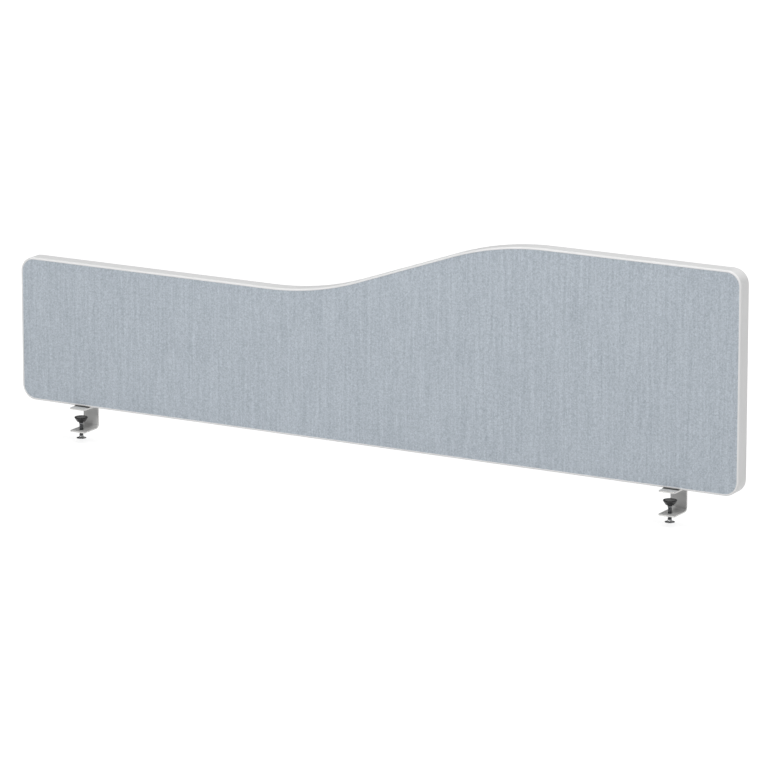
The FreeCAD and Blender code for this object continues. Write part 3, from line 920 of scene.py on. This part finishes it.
def build_clamps():
    """The turned pieces and spacers of both clamps, and materials for the nodes that stay CAD."""
    steel = coated_steel()
    plastic = moulded_plastic()
    spacer_rubber = rubber("spacer_rubber", srgb(58, 58, 59), srgb(84, 84, 84), ribs=1.6)
    facing_rubber = rubber("facing_rubber", srgb(92, 92, 93), srgb(124, 124, 124))
    thread_steel = turned_steel("thread_steel", srgb(84, 85, 87), srgb(136, 137, 139), 0.2, 0.34)
    disc_steel = turned_steel("disc_steel", srgb(138, 139, 140), srgb(186, 187, 188), 0.12, 0.22)
    collar_steel = turned_steel("collar_steel", srgb(112, 113, 115), srgb(150, 151, 152), 0.2, 0.3)
    ring_steel = turned_steel("ring_steel", srgb(90, 92, 96), srgb(128, 130, 134), 0.25, 0.4)
    plated = zinc()
    yellow = brass()
    for side, x in SIDES.items():
        pad_body, screw_body = side + "_pad", side + "_screw"
        turned_pieces = [
            ("threaded_screw", clamp_screw, screw_body, "screw", thread_steel, "clamp_screw"),
            ("neck_collar", thrust_collar, screw_body, "collar", collar_steel, "thrust_collar"),
            ("knurled_disc", thumb_disc, screw_body, "disc", disc_steel, "thumb_disc"),
            ("cup", pressure_pad, pad_body, "pad", plastic, "pressure_pad"),
            ("ringed_facing", pad_facing, pad_body, "facing", facing_rubber, "pad_facing"),
        ]
        for name, make, body, slot_name, material, node in turned_pieces:
            piece = new_piece(side + "_" + name, *make(x))
            shade(piece)
            finish_piece(piece, body, material, side + "_" + node)
        spacer = spacer_pad(side + "_rubber_spacer", x)
        shade(spacer)
        finish_piece(spacer, "panel", spacer_rubber, side + "_spacer_pad")
        dress(side + "_clamp_bracket", steel)
        dress(side + "_bracket_screws", plated)
        dress(side + "_threaded_inserts", yellow)
        dress(side + "_snap_ring", ring_steel)


# ---- stage, camera and light -----------------------------------------------------------------
CAMERA_TARGET = Vector((0.0270, -0.0135, 0.12256))      # metres
CAMERA_DISTANCE = 11.261    # metres
CAMERA_AZIMUTH = 29.919     # degrees round Z from the front, towards +X
CAMERA_ELEVATION = 13.464
CAMERA_LENS = 271.21
FLOOR_SIZE = 60.0           # metres
FLOOR_GAP = 8.0             # millimetres from the thumb discs down to the floor
FLOOR_GLOW_SEEN = 0.825     # glow that brings the floor to plain white where it is seen
FLOOR_GLOW = 0.51           # glow that lights the object
SKY_LEVEL = -0.75           # sky light = level + slope . direction, and never less than the least
SKY_SLOPE = (0.43, -0.31, 1.91)
SKY_LEAST = 0.05
SKY_SEEN = 1.05             # the sky as the camera sees it
SOFTBOX_SIZE = 0.9          # metres
SOFTBOX_DISTANCE = 4.0      # metres
KEY_POWER = 65.0            # watts
SIDE_POWER = 13.0           # watts
OVERHEAD_POWER = 0.53       # watts per square metre
OVERHEAD_ANGLE = 0.22       # radians across, which sets how soft its shadows are


def stand(item, azimuth, elevation, distance):
    """Puts a camera or lamp round the target and points it there; azimuth 0 is in front, towards -Y."""
    turn, lift = radians(azimuth), radians(elevation)
    away = Vector((sin(turn) * cos(lift), -cos(turn) * cos(lift), sin(lift)))
    item.location = CAMERA_TARGET + distance * away
    item.rotation_mode = "QUATERNION"
    item.rotation_quaternion = (CAMERA_TARGET - item.location).to_track_quat("-Z", "Y")


def build_camera():
    lens = bpy.data.cameras.new("camera")
    lens.lens = CAMERA_LENS
    lens.sensor_width = 36.0
    lens.clip_end = 200.0
    camera = bpy.data.objects.new("camera", lens)
    bpy.context.scene.collection.objects.link(camera)
    stand(camera, CAMERA_AZIMUTH, CAMERA_ELEVATION, CAMERA_DISTANCE)
    bpy.context.scene.camera = camera


def softbox(name, azimuth, elevation, power):
    """A square area lamp that points at the camera's target."""
    light = bpy.data.lights.new(name, "AREA")
    light.shape = "SQUARE"
    light.size = SOFTBOX_SIZE
    light.energy = power
    lamp = bpy.data.objects.new(name, light)
    bpy.context.scene.collection.objects.link(lamp)
    stand(lamp, azimuth, elevation, SOFTBOX_DISTANCE)
    return lamp


def build_world():
    """Light of the room: brightest overhead, stronger towards +X and the front, and plain white to
    the camera."""
    world = bpy.data.worlds.new("studio")
    bpy.context.scene.world = world
    world.use_nodes = True
    tree = world.node_tree
    background = tree.nodes["Background"]
    background.inputs["Color"].default_value = (1.0, 1.0, 1.0, 1.0)
    direction = tree.nodes.new("ShaderNodeTexCoord")
    slope = tree.nodes.new("ShaderNodeVectorMath")
    slope.operation = "DOT_PRODUCT"
    slope.inputs[1].default_value = SKY_SLOPE
    tree.links.new(direction.outputs["Generated"], slope.inputs[0])
    level = tree.nodes.new("ShaderNodeMath")
    level.operation = "ADD"
    level.inputs[1].default_value = SKY_LEVEL
    tree.links.new(slope.outputs["Value"], level.inputs[0])
    kept = tree.nodes.new("ShaderNodeMath")
    kept.operation = "MAXIMUM"
    kept.inputs[1].default_value = SKY_LEAST
    tree.links.new(level.outputs[0], kept.inputs[0])
    path = tree.nodes.new("ShaderNodeLightPath")
    strength = tree.nodes.new("ShaderNodeMix")
    tree.links.new(path.outputs["Is Camera Ray"], strength.inputs["Factor"])
    tree.links.new(kept.outputs[0], strength.inputs[2])
    strength.inputs[3].default_value = SKY_SEEN
    tree.links.new(strength.outputs[0], background.inputs["Strength"])


def build_floor():
    """A matt floor that glows more to the camera than to the object, so that it shows plain white."""
    s = Surface("floor_white", roughness=0.6, specular=0.0)
    cloud = s.noise(s.scaled(0.002, 0.002, 0.002), detail=2.0)
    s.colour(s.mix(cloud, srgb(161, 161, 161), srgb(164, 164, 164)))
    s.put("Emission Color", (1.0, 1.0, 1.0, 1.0))
    path = s.add("ShaderNodeLightPath")
    glow = s.add("ShaderNodeMix")
    s.link(path.outputs["Is Diffuse Ray"], glow.inputs["Factor"])
    glow.inputs[2].default_value = FLOOR_GLOW_SEEN
    glow.inputs[3].default_value = FLOOR_GLOW
    s.link(glow.outputs[0], s.shader.inputs["Emission Strength"])
    half = FLOOR_SIZE / 2.0 / MM
    level = DISC_LOW.z - FLOOR_GAP
    ground = new_piece("floor", [(-half, -half, level), (half, -half, level), (half, half, level),
                                 (-half, half, level)], [(0, 1, 2, 3)])
    ground.data.materials.append(s.material)
    return ground


def build_light(floor):
    """A key that leaves the floor alone, a weaker side light and a soft lamp straight overhead."""
    key = softbox("key", azimuth=2.0, elevation=40.0, power=KEY_POWER)
    unlit = bpy.data.collections.new("outside_key")
    unlit.objects.link(floor)
    key.light_linking.receiver_collection = unlit
    unlit.collection_objects[0].light_linking.link_state = "EXCLUDE"
    softbox("side", azimuth=95.0, elevation=45.0, power=SIDE_POWER)
    overhead = bpy.data.lights.new("overhead", "SUN")
    overhead.energy = OVERHEAD_POWER
    overhead.angle = OVERHEAD_ANGLE
    lamp = bpy.data.objects.new("overhead", overhead)
    bpy.context.scene.collection.objects.link(lamp)


build_panel()
build_clamps()
ground = build_floor()
build_world()
build_light(ground)
build_camera()
bpy.context.scene.view_settings.view_transform = "Standard"
